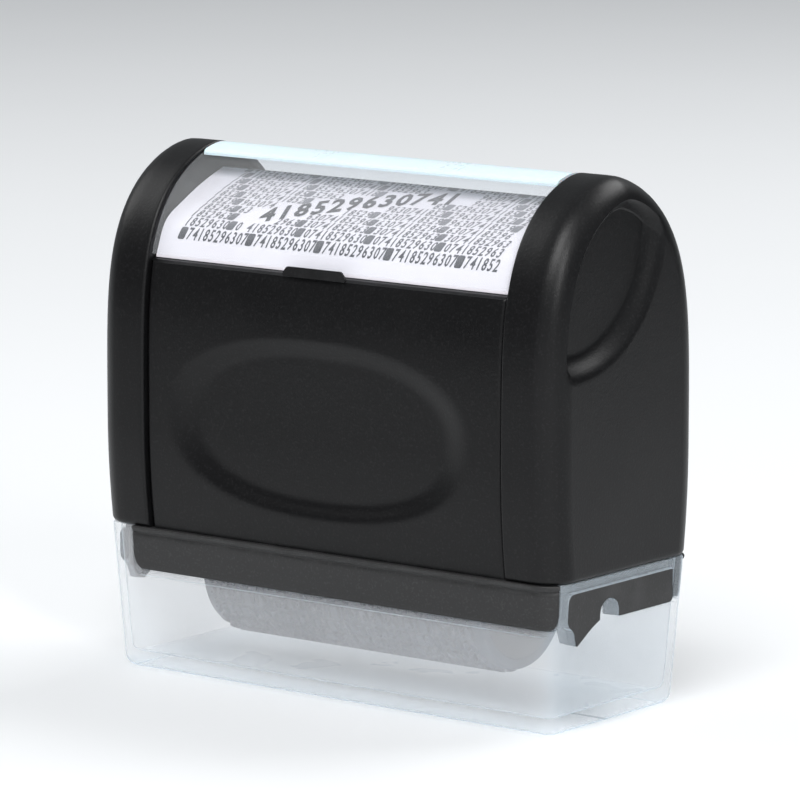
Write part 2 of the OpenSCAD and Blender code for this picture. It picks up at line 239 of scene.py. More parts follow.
def bake(piece):
    """The piece with its modifiers applied."""
    result = bpy.data.meshes.new_from_object(piece.evaluated_get(bpy.context.evaluated_depsgraph_get()))
    old = piece.data
    piece.modifiers.clear()
    piece.data = result
    bpy.data.meshes.remove(old)
    result.name = piece.name
    return piece


def cut(piece, cutters):
    """Takes closed solids out of a closed piece."""
    for cutter in cutters:
        change = piece.modifiers.new("cut", "BOOLEAN")
        change.operation = "DIFFERENCE"
        change.solver = "EXACT"
        change.object = cutter
    bake(piece)
    for cutter in cutters:
        bpy.data.objects.remove(cutter)
    return piece


def prism(name, outline, low, high, axis):
    """A closed solid: an outline carried along X (outline in y, z) or along Y (outline in x, z)."""
    n = len(outline)
    sides = []
    for at in (low, high):
        fixed = np.full(n, at)
        columns = [fixed, outline[:, 0], outline[:, 1]] if axis == "x" else [outline[:, 0], fixed, outline[:, 1]]
        sides.append(np.stack(columns, axis=1))
    faces = grid_quads(2, n, wrap_v=True).tolist() + [list(range(n)), list(range(2 * n - 1, n - 1, -1))]
    return build_mesh(name, np.concatenate(sides), faces)


def swept(name, loops):
    """A closed solid from loops of points, one after the other, with its two ends capped."""
    n_loops, n, _ = loops.shape
    last = (n_loops - 1) * n
    faces = grid_quads(n_loops, n, wrap_v=True).tolist()
    faces += [list(range(n)), list(range(last + n - 1, last - 1, -1))]
    return build_mesh(name, loops, faces)


def along_x(section, x):
    """Section points (y, z) repeated at each x, as loops of (x, y, z)."""
    section = np.asarray(section)
    if section.ndim == 2:
        section = np.repeat(section[None], len(x), axis=0)
    x = np.repeat(np.asarray(x, float)[:, None, None], section.shape[1], axis=1)
    return np.concatenate([x, section], axis=2)


# ---------------------------------------------------------------- materials


class Nodes:
    """A short way to add and join nodes in one node tree."""

    def __init__(self, tree):
        self.tree = tree

    def add(self, kind, settings=None, **inputs):
        node = self.tree.nodes.new(kind)
        for key, value in (settings or {}).items():
            setattr(node, key, value)
        for key, value in inputs.items():
            self.put(node, key.replace("_", " "), value)
        return node

    def put(self, node, socket, value):
        target = node.inputs[socket]
        if isinstance(value, bpy.types.NodeSocket):
            self.tree.links.new(value, target)
        else:
            target.default_value = value

    def math(self, operation, a, b=0.0, clamp=False):
        node = self.tree.nodes.new("ShaderNodeMath")
        node.operation = operation
        node.use_clamp = clamp
        self.put(node, 0, a)
        self.put(node, 1, b)
        return node.outputs[0]

    def mix(self, factor, a, b):
        node = self.tree.nodes.new("ShaderNodeMix")
        node.data_type = "RGBA"
        self.put(node, 0, factor)
        self.put(node, 6, a)
        self.put(node, 7, b)
        return node.outputs[2]

    def band(self, value, low, high, to_low=0.0, to_high=1.0):
        node = self.add("ShaderNodeMapRange", {"interpolation_type": "SMOOTHSTEP"})
        self.put(node, 0, value)
        for k, number in enumerate([low, high, to_low, to_high]):
            self.put(node, k + 1, number)
        return node.outputs[0]


def effect(name, inputs, outputs, fill):
    """A shader node group with named inputs and outputs, filled by a function."""
    tree = bpy.data.node_groups.new(name, "ShaderNodeTree")
    for label, kind, default in inputs:
        socket = tree.interface.new_socket(name=label, in_out="INPUT", socket_type=kind)
        if default is not None:
            socket.default_value = default
    for label, kind in outputs:
        tree.interface.new_socket(name=label, in_out="OUTPUT", socket_type=kind)
    nodes = Nodes(tree)
    source = tree.nodes.new("NodeGroupInput")
    made = fill(nodes, source.outputs)
    sink = tree.nodes.new("NodeGroupOutput")
    for label, value in made.items():
        tree.links.new(value, sink.inputs[label])
    return tree


FLOAT, COLOUR, VECTOR = "NodeSocketFloat", "NodeSocketColor", "NodeSocketVector"


def fill_grain(nodes, given):
    """Spark-eroded mould grain: two sizes of noise, with slow patches of wear in the gloss."""
    place = nodes.add("ShaderNodeTexCoord").outputs["Object"]
    fine = nodes.add("ShaderNodeTexNoise", {"noise_dimensions": "3D"}, Vector=place, Detail=2.0)
    nodes.put(fine, "Scale", given["Scale"])
    coarse = nodes.add("ShaderNodeTexNoise", None, Vector=place, Scale=620.0, Detail=3.0)
    patches = nodes.add("ShaderNodeTexNoise", None, Vector=place, Scale=70.0, Detail=4.0)
    height = nodes.math("ADD", nodes.math("MULTIPLY", fine.outputs[0], 0.7),
                        nodes.math("MULTIPLY", coarse.outputs[0], 0.3))
    bump = nodes.add("ShaderNodeBump", None, Distance=0.00004, Height=height)
    nodes.put(bump, "Strength", given["Strength"])
    rough = nodes.math("ADD", given["Roughness"],
                       nodes.math("MULTIPLY", nodes.math("SUBTRACT", patches.outputs[0], 0.5), 0.16))
    rough = nodes.math("ADD", rough, nodes.math("MULTIPLY", nodes.math("SUBTRACT", fine.outputs[0], 0.5), 0.1))
    speck = nodes.band(fine.outputs[0], 0.52, 0.75)
    return {"Normal": bump.outputs[0], "Roughness": rough, "Speck": speck, "Patches": patches.outputs[0]}


def fill_wear(nodes, given):
    """Edges rubbed a little paler: the pointed parts of the mesh, broken up by noise."""
    place = nodes.add("ShaderNodeTexCoord").outputs["Object"]
    rub = nodes.add("ShaderNodeTexNoise", None, Vector=place, Scale=260.0, Detail=5.0)
    point = nodes.add("ShaderNodeNewGeometry").outputs["Pointiness"]
    edge = nodes.band(point, 0.515, 0.6)
    mask = nodes.math("MULTIPLY", edge, nodes.band(rub.outputs[0], 0.4, 0.7))
    return {"Mask": nodes.math("MULTIPLY", mask, given["Amount"])}


GRAIN = effect("mould_grain",
               [("Scale", FLOAT, 3800.0), ("Strength", FLOAT, 0.5), ("Roughness", FLOAT, 0.45)],
               [("Normal", VECTOR), ("Roughness", FLOAT), ("Speck", FLOAT), ("Patches", FLOAT)], fill_grain)
WEAR = effect("edge_rub", [("Amount", FLOAT, 0.5)], [("Mask", FLOAT)], fill_wear)


def new_material(name):
    """An empty node material, its helper and its main shader."""
    material = bpy.data.materials.new(name)
    material.use_nodes = True
    tree = material.node_tree
    tree.nodes.clear()
    nodes = Nodes(tree)
    out = nodes.add("ShaderNodeOutputMaterial")
    shader = nodes.add("ShaderNodeBsdfPrincipled")
    tree.links.new(shader.outputs[0], out.inputs["Surface"])
    return material, nodes, shader


def place_group(nodes, group, **values):
    """One of the shared effects, with this material's own values."""
    node = nodes.add("ShaderNodeGroup", {"node_tree": group})
    for key, value in values.items():
        nodes.put(node, key, value)
    return node.outputs


def moulded(name, colour, pale, roughness, grain=0.5, scale=3800.0, specular=0.5, wear=0.4):
    """Grained moulded plastic: flecked colour, patchy gloss and edges rubbed paler."""
    material, nodes, shader = new_material(name)
    grained = place_group(nodes, GRAIN, Scale=scale, Strength=grain, Roughness=roughness)
    rubbed = place_group(nodes, WEAR, Amount=wear)
    base = nodes.mix(nodes.math("MULTIPLY", grained["Speck"], 0.5), colour + (1,), pale + (1,))
    nodes.put(shader, "Base Color", nodes.mix(rubbed["Mask"], base, pale + (1,)))
    nodes.put(shader, "Roughness", grained["Roughness"])
    nodes.put(shader, "Normal", grained["Normal"])
    nodes.put(shader, "Specular IOR Level", specular)
    return material


def turned_steel(name):
    """Ground steel: fine rings round the rod, lightly streaked along it."""
    material, nodes, shader = new_material(name)
    place = nodes.add("ShaderNodeTexCoord").outputs["Object"]
    rings = nodes.add("ShaderNodeTexWave", {"bands_direction": "X"}, Vector=place, Scale=900.0, Distortion=2.0,
                      Detail=3.0)
    haze = nodes.add("ShaderNodeTexNoise", None, Vector=place, Scale=180.0, Detail=4.0)
    bump = nodes.add("ShaderNodeBump", None, Distance=0.00002, Strength=0.3, Height=rings.outputs["Fac"])
    nodes.put(shader, "Base Color", nodes.mix(haze.outputs[0], (0.42, 0.43, 0.45, 1), (0.62, 0.63, 0.64, 1)))
    nodes.put(shader, "Metallic", 1.0)
    nodes.put(shader, "Roughness", nodes.band(haze.outputs[0], 0.3, 0.7, 0.22, 0.4))
    nodes.put(shader, "Normal", bump.outputs[0])
    return material


def rubber(name):
    """Moulded stamp rubber: dark, soft sheen, with uneven patches of ink."""
    material, nodes, shader = new_material(name)
    grained = place_group(nodes, GRAIN, Scale=2600.0, Strength=0.35, Roughness=0.58)
    stain = nodes.band(grained["Patches"], 0.35, 0.7)
    nodes.put(shader, "Base Color", nodes.mix(stain, (0.03, 0.046, 0.07, 1), (0.05, 0.075, 0.11, 1)))
    nodes.put(shader, "Roughness", grained["Roughness"])
    nodes.put(shader, "Normal", grained["Normal"])
    nodes.put(shader, "Specular IOR Level", 0.35)
    return material


def felt(name):
    """Felt soaked with ink: tangled fibres from stretched noise, matt with a wet glint."""
    material, nodes, shader = new_material(name)
    place = nodes.add("ShaderNodeTexCoord").outputs["Object"]
    fibre = nodes.add("ShaderNodeTexNoise", None, Vector=place, Scale=2600.0, Detail=6.0, Distortion=3.0)
    clump = nodes.add("ShaderNodeTexNoise", None, Vector=place, Scale=420.0, Detail=3.0)
    height = nodes.math("ADD", fibre.outputs[0], nodes.math("MULTIPLY", clump.outputs[0], 0.8))
    bump = nodes.add("ShaderNodeBump", None, Distance=0.00015, Strength=0.8, Height=height)
    nodes.put(shader, "Base Color", nodes.mix(fibre.outputs[0], (0.004, 0.005, 0.012, 1), (0.02, 0.022, 0.04, 1)))
    nodes.put(shader, "Roughness", nodes.band(clump.outputs[0], 0.3, 0.7, 0.55, 0.95))
    nodes.put(shader, "Sheen Weight", 0.3)
    nodes.put(shader, "Normal", bump.outputs[0])
    return material


def paper(name):
    """Coated label paper: warm white with a faint pink cast, a fine tooth and soft mottling."""
    material, nodes, shader = new_material(name)
    place = nodes.add("ShaderNodeTexCoord").outputs["Object"]
    mottle = nodes.add("ShaderNodeTexNoise", None, Vector=place, Scale=140.0, Detail=4.0)
    tooth = nodes.add("ShaderNodeTexNoise", None, Vector=place, Scale=4200.0, Detail=3.0)
    bump = nodes.add("ShaderNodeBump", None, Distance=0.00001, Strength=0.4, Height=tooth.outputs[0])
    nodes.put(shader, "Base Color", nodes.mix(mottle.outputs[0], (0.83, 0.77, 0.81, 1), (0.87, 0.84, 0.88, 1)))
    nodes.put(shader, "Roughness", nodes.band(mottle.outputs[0], 0.3, 0.7, 0.4, 0.55))
    nodes.put(shader, "Normal", bump.outputs[0])
    return material


def print_ink(name, strong, faint, low_z, high_z):
    """Label ink: dark at the label's foot and painted paler up the slope, a painted glare of the window's
    reflection over the print; slightly uneven.
    """
    material, nodes, shader = new_material(name)
    place = nodes.add("ShaderNodeTexCoord").outputs["Object"]
    height = nodes.add("ShaderNodeSeparateXYZ", None, Vector=place).outputs["Z"]
    uneven = nodes.add("ShaderNodeTexNoise", None, Vector=place, Scale=1500.0, Detail=2.0)
    # Paler with height: painted glare, the window's reflection greying the print towards the label's top.
    painted_glare = nodes.band(height, low_z * MM, high_z * MM)
    painted_glare = nodes.math("ADD", painted_glare, nodes.math("MULTIPLY", nodes.math("SUBTRACT", uneven.outputs[0], 0.5), 0.3),
                      clamp=True)
    nodes.put(shader, "Base Color", nodes.mix(painted_glare, strong + (1,), faint + (1,)))
    nodes.put(shader, "Roughness", nodes.band(uneven.outputs[0], 0.3, 0.7, 0.35, 0.5))
    return material


def frosted(name):
    """Frosted clear plastic: a pale haze that the roller shows through, bluer at its ends and foot. Lamp
    light mostly passes it, so its inside stays bright."""
    material, nodes, shader = new_material(name)
    place = nodes.add("ShaderNodeTexCoord").outputs["Object"]
    axes = nodes.add("ShaderNodeSeparateXYZ", None, Vector=place)
    cloud = nodes.add("ShaderNodeTexNoise", None, Vector=place, Scale=90.0, Detail=4.0)
    tooth = nodes.add("ShaderNodeTexNoise", None, Vector=place, Scale=3000.0, Detail=2.0)
    bump = nodes.add("ShaderNodeBump", None, Distance=0.00002, Strength=0.25, Height=tooth.outputs[0])
    foot = nodes.band(axes.outputs["Z"], 0.0, 2.2 * MM, 1.0, 0.0)
    ends = nodes.band(nodes.math("ABSOLUTE", axes.outputs["X"]), 27.5 * MM, 30.5 * MM)
    facing = nodes.add("ShaderNodeLayerWeight", None, Blend=0.5).outputs["Facing"]
    grazing = nodes.band(facing, 0.55, 1.0)
    blue = nodes.math("MAXIMUM", foot, nodes.math("MULTIPLY", ends, 0.6), clamp=True)
    blue = nodes.math("MAXIMUM", blue, grazing)
    base = nodes.mix(blue, (0.95, 0.97, 1.0, 1), (0.68, 0.83, 0.95, 1))
    haze = nodes.math("ADD", nodes.math("MULTIPLY", cloud.outputs[0], 0.05), 0.18)
    haze = nodes.math("ADD", haze, nodes.math("MULTIPLY", grazing, 0.5))
    path = nodes.add("ShaderNodeLightPath")
    alpha = nodes.math("MULTIPLY", haze, nodes.band(path.outputs["Is Shadow Ray"], 0.0, 1.0, 1.0, 0.05))
    nodes.put(shader, "Base Color", base)
    nodes.put(shader, "Alpha", alpha)
    nodes.put(shader, "Roughness", nodes.band(cloud.outputs[0], 0.3, 0.7, 0.25, 0.4))
    nodes.put(shader, "Normal", bump.outputs[0])
    nodes.put(shader, "IOR", 1.5)
    return material


def clear(name):
    """Polished clear plastic for the label window. Lamp light passes it, so the label stays lit."""
    material, nodes, shader = new_material(name)
    place = nodes.add("ShaderNodeTexCoord").outputs["Object"]
    smear = nodes.add("ShaderNodeTexNoise", None, Vector=place, Scale=120.0, Detail=5.0)
    nodes.put(shader, "Base Color", nodes.mix(smear.outputs[0], (0.93, 0.96, 0.98, 1), (1.0, 1.0, 1.0, 1)))
    nodes.put(shader, "Roughness", nodes.band(smear.outputs[0], 0.4, 0.8, 0.02, 0.09))
    nodes.put(shader, "IOR", 1.45)
    through = nodes.add("ShaderNodeBsdfTransparent", None, Color=(0.97, 0.98, 0.99, 1))
    path = nodes.add("ShaderNodeLightPath")
    blend = nodes.add("ShaderNodeMixShader")
    lit = nodes.math("MAXIMUM", path.outputs["Is Shadow Ray"], path.outputs["Is Diffuse Ray"])
    nodes.put(blend, 0, nodes.math("MAXIMUM", lit, 0.93))
    nodes.put(blend, 1, shader.outputs[0])
    nodes.put(blend, 2, through.outputs[0])
    out = next(n for n in nodes.tree.nodes if n.type == "OUTPUT_MATERIAL")
    nodes.tree.links.new(blend.outputs[0], out.inputs["Surface"])
    return material


def pale_plastic(name):
    """The window's pale rail: milky plastic with a cool cast and soft mottling."""
    material, nodes, shader = new_material(name)
    grained = place_group(nodes, GRAIN, Scale=2200.0, Strength=0.15, Roughness=0.3)
    nodes.put(shader, "Base Color", nodes.mix(grained["Patches"], (0.66, 0.80, 0.85, 1), (0.76, 0.88, 0.92, 1)))
    nodes.put(shader, "Roughness", grained["Roughness"])
    nodes.put(shader, "Normal", grained["Normal"])
    nodes.put(shader, "Subsurface Weight", 0.15)
    nodes.put(shader, "Subsurface Scale", 0.001)
    return material


BLACK = moulded("black_shell", (0.0055, 0.0055, 0.006), (0.018, 0.018, 0.019), 0.36, grain=0.5, specular=0.26)
CHARCOAL = moulded("charcoal_frame", (0.022, 0.022, 0.0225), (0.055, 0.055, 0.056), 0.42, grain=0.6,
                   specular=0.4)
GREY_NYLON = moulded("grey_nylon", (0.09, 0.09, 0.095), (0.16, 0.16, 0.165), 0.5, grain=0.3, wear=0.3)
DARK_NYLON = moulded("dark_nylon", (0.03, 0.036, 0.045), (0.06, 0.07, 0.085), 0.5, grain=0.3, wear=0.3)
WHITE_NYLON = moulded("white_nylon", (0.62, 0.62, 0.6), (0.75, 0.75, 0.73), 0.45, grain=0.25, wear=0.2)
STEEL = turned_steel("ground_steel")
RUBBER = rubber("stamp_rubber")
FELT = felt("ink_felt")
PAPER = paper("label_paper")
# Each ink's second, paler colour is painted glare: the window's reflection greying the print high on the label.
SMALL_INK = print_ink("label_ink", (0.012, 0.014, 0.026), (0.30, 0.29, 0.31), 47.6, 54.0)
LARGE_INK = print_ink("label_large_ink", (0.05, 0.05, 0.055), (0.16, 0.15, 0.16), 50.0, 54.5)
FROSTED = frosted("frosted_cap")
CLEAR = clear("clear_window")
PALE = pale_plastic("pale_rail")

NODE_FINISH = {
    "lower_frame": CHARCOAL, "frame_screws": STEEL, "cover_pins": STEEL, "left_cheek": GREY_NYLON,
    "right_cheek": GREY_NYLON, "tie_bars": GREY_NYLON, "ink_hood": GREY_NYLON, "printing_axle": STEEL,
    "ink_axle": STEEL, "axle_clips": STEEL, "printing_core": DARK_NYLON, "printing_bushes": WHITE_NYLON,
    "ink_core": WHITE_NYLON, "ink_felt": FELT, "ink_bushes": WHITE_NYLON}
for node_name, finish in NODE_FINISH.items():
    slots = frame["nodes"][node_name].material_slots
    for one in slots:
        one.material = finish

# ---------------------------------------------------------------- housing


def label_path(drop=0.0):
    """The label's line (y, z): a steep flap behind the window, a soft bend and a slope."""
    corner = [[-side_y(46.0, LABEL_INSET), 46.0], [-side_y(48.9, LABEL_INSET), 48.9],
              [-8.9, 50.2], [-3.3, 53.2], [0.4, 54.6]]
    path = rounded(corner, [0, 1.2, 1.4, 2.0, 0], steps=10)
    return path - [0, drop]


def grip_dip(x, z):
    """Depth of the oval grip: a superellipse with a soft lip and a slightly dished floor."""
    reach = (np.abs((x - GRIP_X) / GRIP_A) ** 2.35 + np.abs((z - GRIP_Z) / GRIP_B) ** 2.35) ** (1 / 2.35)
    return (GRIP_DEPTH - 0.15) * ease(-reach, -1.06, -0.84) + 0.15 * np.clip(1 - reach ** 2, 0, 1)


def mid_housing():
    """The section's outer line and inner line form one loop, which is carried along X. The two panels
    sink by the grip's dip and roll in beside the arches."""
    front = flip_y(arch_side(PANEL_INSET, SPLIT_Z, PANEL_TOP_Z - 0.3, 26, 60))
    rear = arch_side(PANEL_INSET, SPLIT_Z, REAR_TOP_Z - 0.3, 26, 60)[::-1]
    panel_y = side_y(PANEL_TOP_Z, PANEL_INSET)
    seat = label_path(LABEL_T + 0.02)
    roof = rounded(np.concatenate([
        [[-panel_y, PANEL_TOP_Z - 0.3], [-panel_y + 0.3, PANEL_TOP_Z]], seat,
        [[2.2, 54.4], [5.6, 52.2], [7.8, 50.0], [8.6, 48.4], [8.6, REAR_TOP_Z]],
        [[side_y(REAR_TOP_Z, PANEL_INSET) - 0.3, REAR_TOP_Z],
         [side_y(REAR_TOP_Z, PANEL_INSET), REAR_TOP_Z - 0.3]]]), 0.3, steps=4)[1:-1]
    inner_front = flip_y(arch_side(PANEL_INSET + 1.8, SPLIT_Z, 44.0, 10, 20))
    inner_rear = arch_side(PANEL_INSET + 1.8, SPLIT_Z, 44.0, 10, 20)
    ceiling = [[7, 44], [7, 47.6], [6.4, 49.2], [4.6, 51], [2.2, 52.4], [0.6, 52.6], [-2.9, 51.4],
               [-7.8, 48.8], [-8.7, 48], [-9, 44]]
    inner = np.concatenate([inner_rear, ceiling, inner_front[::-1]])
    section = np.concatenate([front, roof, rear, inner])
    side = np.zeros(len(section))
    side[:len(front)] = -1
    side[len(front) + len(roof):len(front) + len(roof) + len(rear)] = 1
    end = MID_HALF - 0.06
    x = np.concatenate([-end + np.linspace(0, 1, 12) * 0.9, np.linspace(-end + 1.2, end - 1.2, 110),
                        end - 0.9 + np.linspace(0, 1, 12) * 0.9])
    loops = along_x(section, x)
    z = loops[..., 2]
    roll = 0.9 * (1 - np.sqrt(1 - ease(np.abs(loops[..., 0]), end - 0.8, end + 0.1) ** 2))
    sink = grip_dip(loops[..., 0], z) + roll
    loops[..., 1] -= side * sink
    return swept("mid_housing", loops)


def scoop_dip(y, z, inset):
    """Depth of the finger scoop: full inside a circle and inside the arch's rim, easing to nothing."""
    reach = np.hypot(y - SCOOP_CENTRE[0], z - SCOOP_CENTRE[1])
    return SCOOP_DEPTH * ease(SCOOP_R - reach, 0.0, 2.6) * ease(inset, 2.35, 3.4)


def end_arch(name, mirror):
    """Nested outlines of the arch, from the middle of its inner face, over the edge and the side, round
    the outer fillet and in to the middle of the end face, where they fold shut on the centre line. The
    foot curves in along each row's outward normal, and is closed flat."""
    edge, n_in, n_end = 0.35, 16, 46
    quarter = np.linspace(0, math.pi / 2, 12)
    flat = HALF_L - EDGE_R
    inset = np.concatenate([
        np.linspace(HALF_D, edge, n_in, endpoint=False), edge * (1 - np.sin(quarter)), np.zeros(5),
        EDGE_R * (1 - np.cos(quarter[1:])), np.linspace(EDGE_R, 4.4, 14)[1:],
        np.linspace(4.4, HALF_D, n_end)[1:]])
    x = np.concatenate([
        np.full(n_in, MID_HALF + 0.01), MID_HALF + 0.01 + edge * (1 - np.cos(quarter)),
        np.linspace(MID_HALF + edge, flat, 7)[1:-1],
        flat + EDGE_R * np.sin(quarter[1:]), np.full(13 + n_end - 1, HALF_L)])
    heading = np.concatenate([
        np.full(n_in, -math.pi / 2), quarter - math.pi / 2, np.zeros(5), quarter[1:],
        np.full(13 + n_end - 1, math.pi / 2)])
    low = SPLIT_Z + FOOT_R * (1 - np.cos(np.linspace(0, math.pi / 2, 7, endpoint=False)))
    foot = np.concatenate([low, np.linspace(SPLIT_Z + FOOT_R, WAIST_Z, 26, endpoint=False)])
    turn = np.sin(np.radians(np.linspace(0, 90, 96)))
    rows = []
    for i, at, way in zip(inset, x, heading):
        z = np.concatenate([foot, WAIST_Z + (TOP_Z - i - WAIST_Z) * turn])
        pull = FOOT_R - np.sqrt(FOOT_R ** 2 - np.clip(SPLIT_Z + FOOT_R - z, 0, FOOT_R) ** 2)
        y = np.clip(side_y(z, i) - pull * math.cos(way), 0, None)
        y[-1] = 0
        outline = np.concatenate([np.stack([-y, z], 1), np.stack([y, z], 1)[-2::-1]])
        pull = np.concatenate([pull, pull[-2::-1]]) * max(math.sin(way), 0)
        drop = scoop_dip(outline[:, 0], outline[:, 1], i) if at > flat else 0
        rows.append(np.column_stack([at - drop - pull, outline]))
    grid = np.stack(rows)
    if mirror:
        grid[..., 0] *= -1
    n_rows, n = grid.shape[:2]
    front = np.arange(n_rows) * n
    under = np.stack([front[:-1], front[1:], front[1:] + n - 1, front[:-1] + n - 1], axis=1)
    return build_mesh(name, grid, np.concatenate([grid_quads(n_rows, n), under]), merge=0.004)


finish_piece(mid_housing(), "housing", BLACK, stands_for=["mid_shell"])
finish_piece(end_arch("right_end_arch", False), "housing", BLACK, stands_for=["right_end_cover"])
finish_piece(end_arch("left_end_arch", True), "housing", BLACK, stands_for=["left_end_cover"])


def thumb_tab():
    """The small tab over the label's lower edge, a trapezoid with round corners."""
    shape = rounded([[-1.1, 45.5], [-5.3, 45.5], [-5.3, 45.9], [-4.75, 46.55], [2.55, 46.55], [3.1, 45.9],
                     [3.1, 45.5], [-1.1, 45.5]], 0.2)[:-1]
    y = -side_y(PANEL_TOP_Z, COVER_INSET)
    return prism("label_tab", shape, y - 0.28, y - 0.02, "y")


finish_piece(thumb_tab(), "housing", BLACK)


def skirt_band(name, mirror):
    """The frame's band, flush with the cap: an upright section with a bead along its top, carried along
    the front and round one corner. Its foot curves up at both ends."""
    points, normals = ring(CAP_L, CAP_D, CORNER_R, n_side=260, n_corner=40)
    start = np.argmax((points[:, 1] < 0) & (points[:, 0] > BAND_LEFT) & (normals[:, 1] < -0.99))
    run = np.arange(len(points))
    keep = (run >= start) & (points[:, 0] > BAND_LEFT) & ~((normals[:, 0] > 0) & (points[:, 1] > -11.04))
    keep &= normals[:, 1] < -0.3
    line, out = points[keep], normals[keep]
    along = np.r_[0, np.cumsum(np.linalg.norm(np.diff(line, axis=0), axis=1))]
    gap = np.minimum(along, along[-1] - along)
    foot_r = 1.2
    foot = BAND_LOW + foot_r - np.sqrt(np.clip(foot_r ** 2 - np.clip(foot_r - gap, 0, foot_r) ** 2, 0, None))
    section = rounded([[-BAND_T, 0.25], [-BAND_T, 0], [0, 0], [0, 0.78], [-0.16, 0.84], [0.14, 0.9], [0.14, 1],
                       [-BAND_T, 1], [-BAND_T, 0.5]], [0, 0.1, 0.12, 0.12, 0.1, 0.08, 0.08, 0.05, 0], steps=5)
    z = foot[:, None] + (SPLIT_Z - 0.03 - foot[:, None]) * np.clip(section[:, 1], 0, 1)
    lean = CAP_DRAFT * (SPLIT_Z - z) / SPLIT_Z
    push = section[:, 0] - lean
    loops = np.stack([line[:, :1] + out[:, :1] * push, line[:, 1:] + out[:, 1:] * push, z], axis=-1)
    if mirror:
        loops[..., 1] *= -1
    return swept(name, loops)


finish_piece(skirt_band("front_band", False), "housing", CHARCOAL, sharp_deg=50)
finish_piece(skirt_band("rear_band", True), "housing", CHARCOAL, sharp_deg=50)

# ---------------------------------------------------------------- label and window


def label():
    """The paper follows its line at a constant thickness."""
    top = resample(label_path(), 60)
    section = np.concatenate([top, (top - [0, LABEL_T])[::-1]])
    return swept("label", along_x(section, [-LABEL_HALF, LABEL_HALF]))


finish_piece(label(), "housing", PAPER, stands_for=["label_card"])


def glyphs(letters, bold, bars=3):
    """Flat triangles of each digit, one unit high, cut across so that they can bend."""
    import bmesh
    made = {}
    for letter in letters:
        curve = bpy.data.curves.new("digit", "FONT")
        curve.body = letter
        curve.resolution_u = 2
        curve.offset = bold
        text = bpy.data.objects.new("digit", curve)
        bpy.context.scene.collection.objects.link(text)
        bpy.context.view_layer.update()
        mesh = bpy.data.meshes.new_from_object(text)
        work = bmesh.new()
        work.from_mesh(mesh)
        points = np.array([v.co[:2] for v in work.verts])
        low, high = points.min(0), points.max(0)
        for k in range(1, bars + 1):
            level = low[1] + (high[1] - low[1]) * k / (bars + 1)
            bmesh.ops.bisect_plane(work, geom=work.verts[:] + work.edges[:] + work.faces[:],
                                   plane_co=(0, level, 0), plane_no=(0, 1, 0), dist=1e-5)
        bmesh.ops.remove_doubles(work, verts=work.verts, dist=0.004)
        bmesh.ops.triangulate(work, faces=work.faces)
        work.to_mesh(mesh)
        work.free()
        points = np.array([v.co[:2] for v in mesh.vertices])
        faces = np.array([p.vertices[:] for p in mesh.polygons])
        made[letter] = ((points - (low + high) / 2) / (high[1] - low[1]), faces)
        bpy.data.objects.remove(text)
        bpy.data.curves.remove(curve)
        bpy.data.meshes.remove(mesh)
    return made


def badge():
    """The solid square with round corners that parts the groups of digits."""
    loop = rounded([[0, -0.5], [0.42, -0.5], [0.42, 0.5], [-0.42, 0.5], [-0.42, -0.5], [0, -0.5]], 0.22, 4)
    loop = loop[:-1]
    rows = np.stack([loop, loop * 0.5])
    n = len(loop)
    quads = grid_quads(2, n, wrap_v=True)
    faces = np.concatenate([quads[:, [0, 1, 2]], quads[:, [0, 2, 3]]])
    fan = np.stack([np.full(n - 2, n), n + np.arange(1, n - 1), n + np.arange(2, n)], axis=1)
    return rows.reshape(-1, 2), np.concatenate([faces, fan])


DIGITS = glyphs("0123456789", 0.02)
DIGITS["#"] = badge()
BOLD_DIGITS = glyphs("0123456789", 0.035)


def set_type(name, marks, surface, rise=0.0, slant=0.0, cast=DIGITS):
    """Marks (glyph, centre u, centre v, width, height, turn) laid on a surface(u, v, lift), with an italic
    slant. With a rise, each mark is a low block with sides, sunk a little at its foot."""
    points, faces, count = [], [], 0
    for glyph, u, v, width, height, turn in marks:
        flat, tris = cast[glyph]
        flat = flat * [width, height]
        flat[:, 0] += slant * flat[:, 1]
        c, s = math.cos(turn), math.sin(turn)
        flat = flat @ np.array([[c, s], [-s, c]]) + [u, v]
        points.append(surface(flat[:, 0], flat[:, 1], rise))
        faces.append(tris + count)
        count += len(flat)
        if rise:
            edges = np.sort(tris[:, [0, 1, 1, 2, 2, 0]].reshape(-1, 2), axis=1)
            directed = tris[:, [0, 1, 1, 2, 2, 0]].reshape(-1, 2)
            _, first, seen = np.unique(edges, axis=0, return_index=True, return_counts=True)
            rim = directed[first[seen == 1]]
            points.append(surface(flat[:, 0], flat[:, 1], -0.05))
            lower = rim + count
            upper = rim + count - len(flat)
            faces.append(np.column_stack([upper[:, 1], upper[:, 0], lower[:, 0]]))
            faces.append(np.column_stack([upper[:, 1], lower[:, 0], lower[:, 1]]))
            faces.append(tris[:, ::-1] + count)
            count += len(flat)
    mesh = bpy.data.meshes.new(name)
    mesh.from_pydata((np.concatenate(points) * MM).tolist(), [], np.concatenate(faces).tolist())
    piece = bpy.data.objects.new(name, mesh)
    bpy.context.scene.collection.objects.link(piece)
    return piece


LABEL_LINE = resample(label_path(), 200)
LABEL_RUN = np.r_[0, np.cumsum(np.linalg.norm(np.diff(LABEL_LINE, axis=0), axis=1))]
LABEL_TURN = np.gradient(LABEL_LINE, axis=0)
LABEL_TURN /= np.linalg.norm(LABEL_TURN, axis=1)[:, None]


def on_label(u, v, lift):
    """A point u along the label and v up its line, lifted off the paper."""
    y, z, ty, tz = [np.interp(v, LABEL_RUN, column) for column in (*LABEL_LINE.T, *LABEL_TURN.T)]
    off = 0.035 + lift
    return np.column_stack([u, y - tz * off, z + ty * off])


ROW_PITCH, ROW_H, ROW_START = 1.33, 1.2, 2.75
LETTER_W, LETTER_GAP = 0.92, 0.76
LARGE_N = 12


def large_place(t):
    """The large row's baseline: it climbs across the label and flattens towards its end."""
    return -12.2 + 22.5 * t, 6.1 + 6.6 * np.sin(np.radians(72) * t) / math.sin(math.radians(72))


